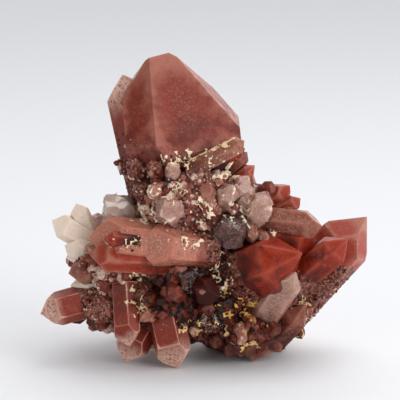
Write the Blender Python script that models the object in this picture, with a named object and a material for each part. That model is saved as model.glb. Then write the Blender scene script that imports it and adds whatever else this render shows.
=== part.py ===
"""Hematoid quartz cluster: red-stained quartz crystals that grew together on one lumpy matrix.

It is one solid. Lengths in the tables are millimetres: X to the right, Y away from the viewer, Z up.
The origin is on the flat, broken base that the cluster rests on, together with two hanging tips."""

import math
import random
from collections import namedtuple

import bmesh
import bpy
from mathutils import Euler, Matrix, Vector

MM = 0.001
NODE = "hematoid_quartz_cluster"

# The angle between quartz's long axis and the normal of a face of its pointed end.
POINT_SLOPE = math.radians(51.8)
TOWARDS_VIEWER = Vector((0, -1, 0))

# How far past the tip each of the six end faces would meet the axis, in girths. Face 0 looks at the
# viewer before the crystal is rolled. A face that meets it early is large, a late one is a small bevel.
HABITS = {
    "even": (0, 0, 0, 0, 0, 0),
    "three_faced": (0, 0.55, 0, 0.55, 0, 0.55),
    "great_face": (-0.62, -0.1, 0.4, 0.55, 0.6, -0.03),
    "broad": (-0.9, 0.05, 0.2, 0.1, 0.25, 0.1),
    "slanted": (-0.45, 0.3, 0.1, 0.35, 0.05, 0.25),
    "blunt": (-0.3, 0, -0.35, 0.1, -0.3, 0.15),
}

# girth is the distance from the axis to the side faces; flat is that of faces 0 and 3, as a share.
Crystal = namedtuple("Crystal", "name foot tip girth roll flat habit")
Lump = namedtuple("Lump", "centre radii turn")

CRYSTALS = [
    # The large upper crystal and its neighbours
    Crystal("top", (-12, 4.4, 40), (-18.2, -5.5, 101), 19.0, 30, 0.72, "great_face"),
    Crystal("top_left", (-25.5, 6, 46), (-35.8, 5, 94.5), 6.7, 20, 0.9, "slanted"),
    Crystal("top_back", (-10, 12, 44), (-12, 16, 80), 7.5, 160, 0.8, "three_faced"),
    Crystal("bar", (-14, -20.5, 65.5), (4.9, -20, 75.3), 2.7, 30, 0.9, "slanted"),
    Crystal("bar_tip", (-5, -17, 66), (4, -17, 74.3), 2.6, 0, 1, "three_faced"),
    Crystal("neck_right_1", (-3, -10, 62), (5.6, -11, 70.3), 2.6, 10, 1, "three_faced"),
    Crystal("neck_right_2", (-1, -11, 58), (8.2, -12, 66), 2.3, 35, 1, "even"),
    Crystal("neck_right_3", (-3, -16, 55), (6.6, -19, 63.5), 3.4, 15, 0.8, "slanted"),
    Crystal("neck_front_1", (-22, -13, 60), (-26, -22, 68.5), 2.4, 10, 1, "slanted"),
    Crystal("neck_front_2", (-17, -13, 60), (-19.5, -24, 67.5), 2.5, 25, 1, "slanted"),
    Crystal("neck_front_3", (-11, -14, 60), (-12, -24, 67.5), 2.8, 5, 1, "slanted"),
    Crystal("neck_front_4", (-28, -8, 58), (-32.5, -17, 68), 2.7, 30, 0.9, "three_faced"),
    Crystal("neck_front_5", (-26, -8, 54), (-30.5, -19, 60.5), 3.0, 0, 1, "even"),
    Crystal("neck_front_6", (-6, -12, 58), (-3.5, -23.5, 65.5), 2.6, 20, 1, "blunt"),
    Crystal("neck_left", (-28, -4, 58), (-37.5, -6, 66.5), 2.3, 10, 1, "even"),
    # The upper right shoulder
    Crystal("shoulder_clear", (5, -12, 47), (14, -19, 58.5), 5.6, 15, 1, "blunt"),
    Crystal("shoulder_clear_2", (2, -12, 50), (7.5, -19, 60.4), 3.4, 0, 1, "blunt"),
    Crystal("shoulder_red", (9, -4, 49), (21, -6, 58.8), 3.6, 20, 1, "blunt"),
    Crystal("shoulder_flat", (12, -8, 47), (23.6, -10, 54.5), 2.3, 0, 0.7, "slanted"),
    Crystal("shoulder_long", (8, -13, 48), (30.3, -17, 46.5), 4.4, 25, 0.85, "three_faced"),
    Crystal("shoulder_under", (6, -12, 43), (28.5, -16, 39.5), 4.4, 0, 1, "three_faced"),
    # The parallel red crystals on the right
    Crystal("right_large", (12.5, -2, 8), (45.3, -4, 46.8), 8.3, 12, 0.95, "broad"),
    Crystal("right_middle", (14, -14, 21), (38.5, -20, 43), 5.0, 20, 0.9, "broad"),
    Crystal("right_front", (-3.5, -11, 21), (23.2, -24.5, 43.6), 8.5, -10, 1, "broad"),
    Crystal("right_low", (6.5, -11, 6), (23, -24.5, 30), 6.6, 0, 0.9, "slanted"),
    Crystal("right_edge", (14, -12, 6), (25, -17, 20), 4.4, 30, 1, "even"),
    Crystal("right_bud", (24, -2, 16), (30.5, -4, 14), 2.0, 0, 1, "three_faced"),
    Crystal("right_inner", (10, -10, 34), (28.5, -6, 41), 5.4, 30, 1, "three_faced"),
    # Lower right, near the base
    Crystal("low_right_1", (12, -10, 10), (7.5, -17.5, 0.5), 4.2, 10, 1, "slanted"),
    Crystal("low_right_2", (12, -10, 12), (17, -17, 3.2), 2.7, 0, 1, "even"),
    Crystal("low_right_3", (4, -12, 11), (-1, -21, 3.2), 2.6, 0, 1, "three_faced"),
    Crystal("low_right_4", (16, -14, 8), (1, -19, 4.6), 3.0, 30, 1, "even"),
    Crystal("low_right_5", (-2, -12, 12), (-5.5, -22, 6.2), 2.2, 0, 1, "even"),
    # The long crystals across the left
    Crystal("left_long", (-4, -16, 38.5), (-47, -20, 43.5), 6.6, 14, 0.9, "slanted"),
    Crystal("left_long_low", (-16, -18, 35), (-46, -23, 38), 4.6, 30, 0.9, "three_faced"),
    Crystal("left_hook", (-30, -22, 43), (-41.5, -25, 43.8), 2.4, 0, 1, "even"),
    Crystal("left_face", (-6, -16.5, 38.5), (-31, -24.5, 42), 6.2, 8, 1, "slanted"),
    Crystal("left_clear", (-32, -8, 43), (-42.5, -13, 58), 5.8, 22, 0.9, "blunt"),
    # The white blades at the far left
    Crystal("white_up", (-44, -7, 34), (-51.5, -8, 52.5), 2.9, 0, 0.7, "slanted"),
    Crystal("white_out", (-41, -8, 36), (-59.5, -10, 47.2), 3.8, 25, 0.7, "slanted"),
    Crystal("white_low", (-41, -11, 34), (-56, -13, 39.5), 3.4, 0, 0.8, "blunt"),
    Crystal("white_root", (-38, -11, 36), (-54.5, -12, 34.5), 3.6, 10, 0.9, "even"),
    # The lower left
    Crystal("left_brown", (-36, -10, 33), (-55.5, -14, 29.5), 5.2, 15, 1, "blunt"),
    Crystal("left_pale", (-36, -8, 24), (-53.5, -13, 25.5), 4.0, 0, 1, "even"),
    Crystal("left_low", (-40, -11, 22), (-63, -18, 17), 5.0, 12, 0.85, "three_faced"),
    Crystal("left_low_2", (-32, -12, 20), (-50, -21, 18), 4.6, 0, 1, "blunt"),
    Crystal("hanging_1", (-35, -17, 27), (-33.6, -26.5, 7.8), 4.2, 25, 0.9, "slanted"),
    Crystal("hanging_2", (-26, -11, 16), (-35.5, -20.5, 1), 5.0, 20, 0.85, "slanted"),
    Crystal("hanging_3", (-22.5, -17, 21), (-17.4, -25, -0.4), 5.4, 12, 0.8, "slanted"),
    Crystal("hanging_4", (-20, -2, 16), (-27, 0, -0.4), 4.6, 0, 1, "three_faced"),
    # The middle of the front
    Crystal("middle_clear", (-17, -14, 48), (-22, -29, 58), 5.0, 10, 1, "blunt"),
    Crystal("middle_grey", (-2, -14, 45), (5, -28, 46.5), 6.2, 25, 1, "blunt"),
    Crystal("middle_pillar", (-9, -16, 46), (-7.5, -23, 63.5), 2.6, 0, 1, "blunt"),
    Crystal("middle_glint", (-4, -14, 52), (0.5, -24, 61.5), 3.6, 15, 1, "even"),
    Crystal("middle_low", (-13, -16, 28), (-17, -28, 33), 5.2, 20, 1, "blunt"),
    Crystal("middle_red", (-14, -16, 28), (-4.5, -28, 24.5), 4.4, 40, 0.8, "slanted"),
    Crystal("middle_dark", (-6, -12, 16), (-11, -25, 14.5), 6.0, 10, 1, "blunt"),
    Crystal("middle_upper", (-16, -10, 56), (-22, -23, 62.5), 4.4, 5, 1, "blunt"),
    Crystal("middle_left", (-28, -12, 24), (-30, -26, 24.5), 5.2, 30, 1, "blunt"),
    # The back
    Crystal("back_large", (-6, 6, 36), (8, 26, 58), 8.6, 170, 0.9, "three_faced"),
    Crystal("back_left", (-16, 6, 34), (-34, 26, 46), 6.6, 150, 0.9, "slanted"),
    Crystal("back_low", (-4, 6, 24), (-12, 30, 20), 7.0, 200, 1, "three_faced"),
    Crystal("back_right", (8, 2, 28), (30, 20, 30), 6.2, 160, 0.85, "slanted"),
    Crystal("back_foot", (6, 4, 16), (20, 20, 8), 4.8, 180, 1, "three_faced"),
    Crystal("back_foot_left", (-22, 2, 20), (-40, 18, 12), 5.2, 180, 1, "slanted"),
    Crystal("back_up", (-10, 10, 44), (-14, 24, 64), 4.8, 190, 1, "three_faced"),
    Crystal("back_side", (-30, 0, 36), (-50, 10, 42), 4.8, 160, 1, "three_faced"),
    Crystal("back_corner", (12, 2, 34), (25, 8, 44), 4.6, 170, 1, "slanted"),
]

LUMPS = [
    Lump((-8, -3, 33), (27, 16, 17), (0, 10, 0)),
    Lump((-14, -7, 55), (18, 17, 15), (0, -12, 0)),
    Lump((-2, -6, 48), (16, 14, 12), (0, 20, 0)),
    Lump((-36, -8, 33), (16, 12, 10), (0, 0, 10)),
    Lump((-36, -9, 21), (15, 11, 9), (0, -8, 0)),
    Lump((-10, -6, 16), (24, 15, 11), (0, 4, 0)),
    Lump((5, 3, 8), (16, 13, 13), (0, 0, 0)),
    Lump((-20, -15, 20), (12, 9, 8), (0, 0, 0)),
    Lump((11, -6, 20), (15, 13, 16), (0, -35, 0)),
    Lump((11, -7, 42), (13, 11, 9), (0, 10, 0)),
    Lump((-6, 9, 30), (24, 13, 18), (0, 0, 8)),
    Lump((-24, -13, 34), (15, 9, 11), (0, 12, 0)),
    Lump((6, -12, 12), (14, 10, 9), (0, -6, 0)),
    Lump((-6, -5, 24), (22, 16, 13), (0, 0, 0)),
]

# How far a point of a lump may lie in or out of its smooth form, as a share.
LUMP_SEED = 7
LUMP_ROUGHNESS = 0.10

# Small crystals that fill the spaces. Reach and sink are in girths, and tilt bends them off upright.
BUD_SEED = 23
BUD_COUNT = 92
BUD_GIRTH = (1.1, 2.6)
BUD_REACH = (1.6, 3.6)
BUD_SINK = 1.5
BUD_TILT = 0.6
BUD_CLEAR_OF_BASE = 5.0
BUD_HABITS = ("even", "three_faced", "slanted", "blunt")

# A bud is left out where its root is this deep in a lump (1 is the skin) or this near a crystal.
LUMP_COVER = 0.95
CRYSTAL_COVER = 0.5

# The block that a crystal is cut from, as a multiple of its length and width, and the one below the base.
BLOCK_SIZE = 3
BASE_BLOCK = 200.0

QUARTZ_COLOUR = (0.36, 0.10, 0.07, 1)
QUARTZ_ROUGHNESS = 0.35


def clear_scene():
    for obj in list(bpy.data.objects):
        bpy.data.objects.remove(obj)


def new_collection(name):
    made = bpy.data.collections.new(name)
    bpy.context.scene.collection.children.link(made)
    return made


def object_from(bm, name, collection):
    mesh = bpy.data.meshes.new(name)
    bmesh.ops.recalc_face_normals(bm, faces=bm.faces)
    bmesh.ops.scale(bm, vec=Vector((MM, MM, MM)), verts=bm.verts)
    bm.to_mesh(mesh)
    bm.free()
    made = bpy.data.objects.new(name, mesh)
    collection.objects.link(made)
    return made


def quartz_material():
    made = bpy.data.materials.new("red_quartz")
    made.use_nodes = True
    shader = made.node_tree.nodes["Principled BSDF"]
    shader.inputs["Base Color"].default_value = QUARTZ_COLOUR
    shader.inputs["Roughness"].default_value = QUARTZ_ROUGHNESS
    shader.inputs["Metallic"].default_value = 0.0
    return made


def cut_planes(crystal):
    """Each face of a crystal as a point on it and its outward normal: foot, six sides, six end faces."""
    foot = Vector(crystal.foot)
    tip = Vector(crystal.tip)
    axis = (tip - foot).normalized()
    front = (TOWARDS_VIEWER - axis * TOWARDS_VIEWER.dot(axis)).normalized()
    side = axis.cross(front)
    planes = [(foot, -axis)]
    for face, past_tip in enumerate(HABITS[crystal.habit]):
        turn = math.radians(60 * face + crystal.roll)
        out = front * math.cos(turn) + side * math.sin(turn)
        away = crystal.girth * (crystal.flat if face in (0, 3) else 1)
        planes.append((foot + out * away, out))
        end_normal = out * math.sin(POINT_SLOPE) + axis * math.cos(POINT_SLOPE)
        planes.append((tip + axis * crystal.girth * past_tip, end_normal))
    return planes


def crystal_mesh(crystal):
    """A block cut down to the crystal by its planes."""
    foot = Vector(crystal.foot)
    tip = Vector(crystal.tip)
    block = BLOCK_SIZE * ((tip - foot).length + 2 * crystal.girth)
    bm = bmesh.new()
    bmesh.ops.create_cube(bm, size=block, matrix=Matrix.Translation((foot + tip) / 2))
    for point, normal in cut_planes(crystal):
        everything = bm.verts[:] + bm.edges[:] + bm.faces[:]
        cut = bmesh.ops.bisect_plane(
            bm, geom=everything, plane_co=point, plane_no=normal, clear_outer=True
        )
        rim = [item for item in cut["geom_cut"] if isinstance(item, bmesh.types.BMEdge)]
        if rim:
            bmesh.ops.edgeloop_fill(bm, edges=rim)
    return bm


def lump_turn(lump):
    return Euler([math.radians(angle) for angle in lump.turn]).to_matrix()


def lump_mesh(lump, noise):
    """A rough, faceted lump of massive quartz."""
    bm = bmesh.new()
    bmesh.ops.create_icosphere(bm, subdivisions=2, radius=1)
    turn = lump_turn(lump)
    for vert in bm.verts:
        swell = 1 + noise.uniform(-LUMP_ROUGHNESS, LUMP_ROUGHNESS)
        scaled = Vector([c * r * swell for c, r in zip(vert.co, lump.radii)])
        vert.co = turn @ scaled + Vector(lump.centre)
    return bm


def inside_lump(point, lump):
    local = lump_turn(lump).transposed() @ (point - Vector(lump.centre))
    return sum((c / r) ** 2 for c, r in zip(local, lump.radii)) < LUMP_COVER


def inside_crystal(point, crystal):
    return all((point - on_face).dot(normal) < CRYSTAL_COVER for on_face, normal in cut_planes(crystal))


def direction(noise):
    """A direction picked evenly over the sphere."""
    height = noise.uniform(-1, 1)
    angle = noise.uniform(0, math.tau)
    level = math.sqrt(1 - height * height)
    return Vector((level * math.cos(angle), level * math.sin(angle), height))


def bud_crystals():
    """Small crystals that stand out of the lumps wherever no named crystal covers them."""
    noise = random.Random(BUD_SEED)
    buds = []
    while len(buds) < BUD_COUNT:
        lump = LUMPS[noise.randrange(len(LUMPS))]
        way = direction(noise)
        turn = lump_turn(lump)
        scaled = Vector([c * r for c, r in zip(way, lump.radii)])
        root = turn @ scaled + Vector(lump.centre)
        outward = (turn @ Vector([c / r for c, r in zip(way, lump.radii)])).normalized()
        lean = (outward + direction(noise) * BUD_TILT).normalized()
        girth = noise.uniform(*BUD_GIRTH)
        reach = girth * noise.uniform(*BUD_REACH)
        roll = noise.uniform(0, 60)
        habit = noise.choice(BUD_HABITS)
        tip = root + lean * reach
        covered = any(inside_lump(root, other) for other in LUMPS if other is not lump)
        covered = covered or any(inside_crystal(root, c) or inside_crystal(tip, c) for c in CRYSTALS)
        if covered or min(root.z, tip.z) < BUD_CLEAR_OF_BASE:
            continue
        foot = root - lean * girth * BUD_SINK
        buds.append(Crystal(f"bud_{len(buds) + 1:02d}", foot, tip, girth, roll, 1, habit))
    return buds


def base_block(collection):
    """What lies below the flat base."""
    bm = bmesh.new()
    below = Matrix.Translation((0, 0, -BASE_BLOCK / 2))
    bmesh.ops.create_cube(bm, size=BASE_BLOCK, matrix=below)
    return object_from(bm, "below_base", collection)


def add_boolean(obj, name, operation):
    made = obj.modifiers.new(name, "BOOLEAN")
    made.operation = operation
    made.solver = "MANIFOLD"
    return made


def main():
    clear_scene()
    cluster = new_collection("hematoid_quartz_cluster")
    growth = new_collection("growth")
    cutters = new_collection("cutters")
    noise = random.Random(LUMP_SEED)
    first, *others = [lump_mesh(lump, noise) for lump in LUMPS]
    body = object_from(first, NODE, cluster)
    body.data.materials.append(quartz_material())
    for number, bm in enumerate(others, 2):
        object_from(bm, f"lump_{number:02d}", growth)
    for crystal in CRYSTALS + bud_crystals():
        object_from(crystal_mesh(crystal), crystal.name, growth)
    ground = base_block(cutters)
    for helper in list(growth.objects) + [ground]:
        helper.hide_render = True
        helper.display_type = "WIRE"
    join = add_boolean(body, "grown_together", "UNION")
    join.operand_type = "COLLECTION"
    join.collection = growth
    flat = add_boolean(body, "flat_base", "DIFFERENCE")
    flat.object = ground


main()
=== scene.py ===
"""Hematoid quartz cluster: its looks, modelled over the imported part.

The tables are in millimetres in the part's own frame: X to the right, Y away from the viewer, Z up."""

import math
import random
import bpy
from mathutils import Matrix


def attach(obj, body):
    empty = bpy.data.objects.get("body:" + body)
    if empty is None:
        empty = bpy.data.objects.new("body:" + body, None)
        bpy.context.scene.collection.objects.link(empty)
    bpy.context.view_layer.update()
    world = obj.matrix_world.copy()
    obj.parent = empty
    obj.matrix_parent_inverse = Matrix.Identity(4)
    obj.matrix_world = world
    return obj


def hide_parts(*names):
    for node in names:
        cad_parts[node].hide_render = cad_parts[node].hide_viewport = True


bl_info = {
    "name": "Hematoid quartz cluster",
    "version": (1, 0, 0),
    "blender": (4, 5, 0),
    "location": "3D View > Sidebar > Quartz",
    "description": "Models a red-stained quartz cluster piece by piece",
    "category": "Object",
}

from collections import namedtuple

import bpy
import numpy as np
from bpy.props import FloatProperty, FloatVectorProperty, IntProperty, PointerProperty
from mathutils import Euler, Matrix, Quaternion, Vector, noise

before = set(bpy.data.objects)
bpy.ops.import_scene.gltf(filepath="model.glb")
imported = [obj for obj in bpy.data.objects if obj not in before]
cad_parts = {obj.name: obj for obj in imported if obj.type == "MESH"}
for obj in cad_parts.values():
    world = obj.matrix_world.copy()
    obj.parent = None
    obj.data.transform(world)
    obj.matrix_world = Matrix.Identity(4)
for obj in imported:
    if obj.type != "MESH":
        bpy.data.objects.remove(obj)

NODE = "hematoid_quartz_cluster"
BODY = "root"
MM = 0.001

# The angle between quartz's long axis and the normal of a face of its pointed end.
POINT_SLOPE = math.radians(51.8)
TOWARDS_VIEWER = Vector((0, -1, 0))
GROUND = (Vector((0, 0, 0)), Vector((0, 0, -1)))
CUT_TOLERANCE = MM * 0.001
QUARTZ_IOR = 1.544

# Roughness of the clear skins, and how much light they take up on a metre
SKIN_ROUGHNESS = 0.16
SKIN_DENSITY = 40

# How far past the tip each of the six end faces would meet the axis, in girths. Face 0 looks at the
# viewer before the crystal is rolled. A face that meets it early is large, a late one is a small bevel.
HABITS = {
    "even": (0, 0, 0, 0, 0, 0),
    "three_faced": (0, 0.55, 0, 0.55, 0, 0.55),
    "great_face": (-0.62, -0.1, 0.4, 0.55, 0.6, -0.03),
    "wedge": (0.5, 0, 0.25, 0.6, 0.25, 0.05),
    "slanted": (-0.45, 0.3, 0.1, 0.35, 0.05, 0.25),
    "blunt": (-0.3, 0, -0.35, 0.1, -0.3, 0.15),
}

# girth is the distance from the axis to the side faces; flat is that of faces 0 and 3, as a share.
# heart names the kind of cloudy inside, and clear is the length of the pale stretch behind the tip.
# The small crystals have neither.
Crystal = namedtuple("Crystal", "name foot tip girth roll flat habit heart clear", defaults=(None, None))
Lump = namedtuple("Lump", "centre radii turn")

CRYSTALS = [
    # The large upper crystal and its neighbours
    Crystal("top", (-12, 4.4, 40), (-18.2, -5.5, 101), 19.0, 30, 0.72, "great_face", "mauve", 6.5),
    Crystal("top_left", (-25.5, 6, 46), (-35.8, 5, 94.5), 6.7, 20, 0.9, "slanted", "phantom", 10.0),
    Crystal("top_back", (-10, 12, 44), (-12, 16, 80), 7.5, 160, 0.8, "three_faced", "red", 2.5),
    Crystal("bar", (-14, -20.5, 65.5), (4.9, -20, 75.3), 2.7, 30, 0.9, "slanted", "dusky", 1.0),
    Crystal("bar_tip", (-5, -17, 66), (4, -17, 74.3), 2.6, 0, 1, "three_faced", "red", 1.2),
    Crystal("neck_right_1", (-3, -10, 62), (5.6, -11, 70.3), 2.6, 10, 1, "three_faced", "brown", 1),
    Crystal("neck_right_2", (-1, -11, 58), (8.2, -12, 66), 2.3, 35, 1, "even", "blush", 1),
    Crystal("neck_right_3", (-3, -16, 55), (6.6, -19, 63.5), 3.4, 15, 0.8, "slanted", "grey", 1),
    Crystal("neck_front_1", (-22, -13, 60), (-26, -22, 68.5), 2.4, 10, 1, "slanted", "brown", 0.8),
    Crystal("neck_front_2", (-17, -13, 60), (-19.5, -24, 67.5), 2.5, 25, 1, "slanted", "grey", 0.8),
    Crystal("neck_front_3", (-11, -14, 60), (-12, -24, 67.5), 2.8, 5, 1, "slanted", "grey", 0.8),
    Crystal("neck_front_4", (-28, -8, 58), (-32.5, -17, 68), 2.7, 30, 0.9, "three_faced", "brown", 0.8),
    Crystal("neck_front_5", (-26, -8, 54), (-30.5, -19, 60.5), 3.0, 0, 1, "even", "brown", 0.8),
    Crystal("neck_front_6", (-6, -12, 58), (-3.5, -23.5, 65.5), 2.6, 20, 1, "blunt", "grey", 0.8),
    Crystal("neck_left", (-28, -4, 58), (-37.5, -6, 66.5), 2.3, 10, 1, "even", "red", 0.8),
    # The upper right shoulder
    Crystal("shoulder_clear", (5, -12, 47), (14, -19, 58.5), 5.6, 15, 1, "blunt", "grey", 3.0),
    Crystal("shoulder_clear_2", (2, -12, 50), (7.5, -19, 60.4), 3.4, 0, 1, "blunt", "grey", 1.6),
    Crystal("shoulder_red", (9, -4, 49), (21, -6, 58.8), 3.6, 20, 1, "blunt", "blush", 1.2),
    Crystal("shoulder_flat", (12, -8, 47), (23.6, -10, 54.5), 2.3, 0, 0.7, "slanted", "blush", 0.8),
    Crystal("shoulder_long", (8, -13, 48), (30.3, -17, 46.5), 4.4, 25, 0.85, "three_faced", "dusky", 2.0),
    Crystal("shoulder_under", (6, -12, 43), (28.5, -16, 39.5), 4.4, 0, 1, "three_faced", "red", 1.2),
    # The parallel red crystals on the right
    Crystal("right_large", (12.5, -2, 8), (45.6, -4, 45.8), 8.3, 2, 0.95, "wedge", "blush", 3.4),
    Crystal("right_middle", (14, -14, 21), (38.6, -20.5, 43), 5.0, 25, 0.9, "even", "red", 1.6),
    Crystal("right_front", (-3, -9, 26), (23.4, -26, 39.4), 8.8, 28, 1, "even", "red", 1.5),
    Crystal("right_low", (7, -14, 8), (21.4, -26, 33.4), 4.3, 0, 0.6, "even", "grey", 2.5),
    Crystal("right_stub", (14, -14, 16), (24.2, -22, 31.4), 3.4, 20, 1, "blunt", "dusky", 1.0),
    Crystal("right_edge", (14, -12, 6), (25, -17, 20), 4.4, 30, 1, "even", "brown", 1),
    Crystal("right_bud", (24, -2, 16), (30.5, -4, 14), 2.0, 0, 1, "three_faced", "grey", 1),
    Crystal("right_inner", (10, -10, 34), (28.5, -6, 41), 5.4, 30, 1, "three_faced", "red", 1.2),
    # Lower right, near the base
    Crystal("low_right_1", (12, -10, 10), (7.5, -17.5, 0.5), 4.2, 10, 1, "slanted", "dusky", 1.5),
    Crystal("low_right_2", (12, -10, 12), (17, -17, 3.2), 2.7, 0, 1, "even", "brown", 1),
    Crystal("low_right_3", (4, -12, 11), (-1, -21, 3.2), 2.6, 0, 1, "three_faced", "brown", 1),
    Crystal("low_right_4", (16, -14, 8), (1, -19, 4.6), 3.0, 30, 1, "even", "brown", 1),
    Crystal("low_right_5", (-2, -12, 12), (-5.5, -22, 6.2), 2.2, 0, 1, "even", "brown", 1),
    # The long crystals across the left
    Crystal("left_long", (-4, -16, 38.5), (-47, -20, 43.5), 6.6, 14, 0.9, "slanted", "rosy", 2.6),
    Crystal("left_long_low", (-16, -18, 35), (-46, -23, 38), 4.6, 30, 0.9, "three_faced", "blush", 2.0),
    Crystal("left_hook", (-30, -22, 43), (-41.5, -25, 43.8), 2.4, 0, 1, "even", "red", 1.0),
    Crystal("left_face", (-6, -16.5, 38.5), (-31, -24.5, 42), 6.2, 8, 1, "slanted", "rosy", 0.6),
    Crystal("left_clear", (-32, -8, 43), (-42.5, -13, 58), 5.8, 22, 0.9, "blunt", "veiled", 2.4),
    # The white blades at the far left
    Crystal("white_up", (-44, -7, 34), (-51.5, -8, 52.5), 2.9, 0, 0.7, "slanted", "white", 1.2),
    Crystal("white_out", (-41, -8, 36), (-59.5, -10, 47.2), 3.8, 25, 0.7, "slanted", "white", 1.5),
    Crystal("white_low", (-41, -11, 34), (-56, -13, 39.5), 3.4, 0, 0.8, "blunt", "white", 1.2),
    Crystal("white_root", (-38, -11, 36), (-54.5, -12, 34.5), 3.6, 10, 0.9, "even", "white", 1.2),
    # The lower left
    Crystal("left_brown", (-36, -10, 33), (-55.5, -14, 29.5), 5.2, 15, 1, "blunt", "dusky", 1.4),
    Crystal("left_pale", (-36, -8, 24), (-53.5, -13, 25.5), 4.0, 0, 1, "even", "white", 1.4),
    Crystal("left_low", (-40, -11, 22), (-63, -18, 17), 5.0, 12, 0.85, "three_faced", "phantom", 5.4),
    Crystal("left_low_2", (-32, -12, 20), (-50, -21, 18), 4.6, 0, 1, "blunt", "dusky", 1.6),
    Crystal("hanging_1", (-35, -17, 27), (-33.6, -26.5, 7.8), 4.2, 25, 0.9, "slanted", "phantom", 3.6),
    Crystal("hanging_2", (-26, -11, 16), (-35.5, -20.5, 1), 5.0, 20, 0.85, "slanted", "phantom", 5.0),
    Crystal("hanging_3", (-22.5, -17, 21), (-17.4, -25, -0.4), 5.4, 12, 0.8, "slanted", "phantom", 7.0),
    Crystal("hanging_4", (-20, -2, 16), (-27, 0, -0.4), 4.6, 0, 1, "three_faced", "phantom", 5),
    # The middle of the front
    Crystal("middle_clear", (-17, -14, 48), (-22, -29, 58), 5.0, 10, 1, "blunt", "grey", 2.0),
    Crystal("middle_grey", (-2, -14, 45), (5, -28, 46.5), 6.2, 25, 1, "blunt", "smoky", 2.0),
    Crystal("middle_pillar", (-9, -16, 46), (-7.5, -23, 63.5), 2.6, 0, 1, "blunt", "dusky", 1.0),
    Crystal("middle_glint", (-4, -14, 52), (0.5, -24, 61.5), 3.6, 15, 1, "even", "grey", 1.2),
    Crystal("middle_low", (-13, -16, 28), (-17, -28, 33), 5.2, 20, 1, "blunt", "smoky", 1.6),
    Crystal("middle_red", (-14, -16, 28), (-4.5, -28, 24.5), 4.4, 40, 0.8, "slanted", "red", 1.2),
    Crystal("middle_dark", (-6, -12, 16), (-11, -25, 14.5), 6.0, 10, 1, "blunt", "smoky", 1.2),
    Crystal("middle_upper", (-16, -10, 56), (-22, -23, 62.5), 4.4, 5, 1, "blunt", "grey", 1.2),
    Crystal("middle_left", (-28, -12, 24), (-30, -26, 24.5), 5.2, 30, 1, "blunt", "brown", 1.2),
    # The back
    Crystal("back_large", (-6, 6, 36), (8, 26, 58), 8.6, 170, 0.9, "three_faced", "mauve", 2.8),
    Crystal("back_left", (-16, 6, 34), (-34, 26, 46), 6.6, 150, 0.9, "slanted", "red", 2.2),
    Crystal("back_low", (-4, 6, 24), (-12, 30, 20), 7.0, 200, 1, "three_faced", "dusky", 2.4),
    Crystal("back_right", (8, 2, 28), (30, 20, 30), 6.2, 160, 0.85, "slanted", "blush", 2.2),
    Crystal("back_foot", (6, 4, 16), (20, 20, 8), 4.8, 180, 1, "three_faced", "grey", 1.6),
    Crystal("back_foot_left", (-22, 2, 20), (-40, 18, 12), 5.2, 180, 1, "slanted", "phantom", 1.6),
    Crystal("back_up", (-10, 10, 44), (-14, 24, 64), 4.8, 190, 1, "three_faced", "rosy", 1.4),
    Crystal("back_side", (-30, 0, 36), (-50, 10, 42), 4.8, 160, 1, "three_faced", "grey", 1.4),
    Crystal("back_corner", (12, 2, 34), (25, 8, 44), 4.6, 170, 1, "slanted", "red", 1.4),
]

LUMPS = [
    Lump((-8, -3, 33), (27, 16, 17), (0, 10, 0)),
    Lump((-14, -7, 55), (18, 17, 15), (0, -12, 0)),
    Lump((-2, -6, 48), (16, 14, 12), (0, 20, 0)),
    Lump((-36, -8, 33), (16, 12, 10), (0, 0, 10)),
    Lump((-36, -9, 21), (15, 11, 9), (0, -8, 0)),
    Lump((-10, -6, 16), (24, 15, 11), (0, 4, 0)),
    Lump((5, 3, 8), (16, 13, 13), (0, 0, 0)),
    Lump((-20, -15, 20), (12, 9, 8), (0, 0, 0)),
    Lump((11, -6, 20), (15, 13, 16), (0, -35, 0)),
    Lump((11, -7, 42), (13, 11, 9), (0, 10, 0)),
    Lump((-6, 9, 30), (24, 13, 18), (0, 0, 8)),
    Lump((-24, -13, 34), (15, 9, 11), (0, 12, 0)),
    Lump((6, -12, 12), (14, 10, 9), (0, -6, 0)),
    Lump((-6, -5, 24), (22, 16, 13), (0, 0, 0)),
]

# Small crystals that fill the spaces. Reach and sink are in girths, and tilt bends them to the side.
BUD_SEED = 23
BUD_COUNT = 92
BUD_GIRTH = (1.1, 2.6)
BUD_REACH = (1.6, 3.6)
BUD_SINK = 1.5
BUD_TILT = 0.6
BUD_CLEAR_OF_BASE = 5.0
BUD_HABITS = ("even", "three_faced", "slanted", "blunt")

# A bud is left out where its root is this deep in a lump (1 is the skin) or this near a crystal, in mm.
LUMP_COVER = 0.95
CRYSTAL_COVER = 0.5

# Round places on the surface. Of a patch, shade is how strongly it darkens with painted shade or glows. Of
# a crust, gold is its share of gold and amount is how much of the surface it covers.
Place = namedtuple("Place", "centre radii")
Patch = namedtuple("Patch", "centre radii shade")
Crust = namedtuple("Crust", "centre radii gold amount")

# Places where small growth covers the large crystals
OVERGROWN = [
    Place((-40, -6, 61), (8, 14, 14)),
    Place((-32, -14, 64), (7, 10, 9)),
    Place((-17, -18, 66), (12, 10, 4)),
    Place((24, -8, 16), (12, 12, 12)),
    Place((36, -4, 27), (5, 10, 6)),
    Place((-33, -24, 43), (5, 6, 3)),
    Place((-10, -20, 44), (12, 6, 4)),
]

# Places where shade is painted on the small growth and the matrix: darker there, or, below 0, paler as
# painted light
SHADES = [
    Patch((-19, -18, 23), (17, 14, 9), 0.8),
    Patch((-4, -20, 26), (10, 12, 12), 0.7),
    Patch((-12, -20, 70), (14, 10, 3), 0.6),
    Patch((4, -18, 40), (6, 8, 6), 0.4),
    Patch((20, -14, 22), (10, 12, 14), 0.35),
    Patch((4, -14, 8), (18, 14, 12), 0.4),
    Patch((-10, -18, 58), (16, 12, 8), -0.1),
    Patch((-45, -14, 24), (9, 12, 12), -0.15),
]

# Places where the hearts glow
EMBERS = [
    Patch((-31, -6, 82), (6, 14, 18), 1.0),
    Patch((0, -12, 78), (7, 10, 7), 1.0),
]
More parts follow.
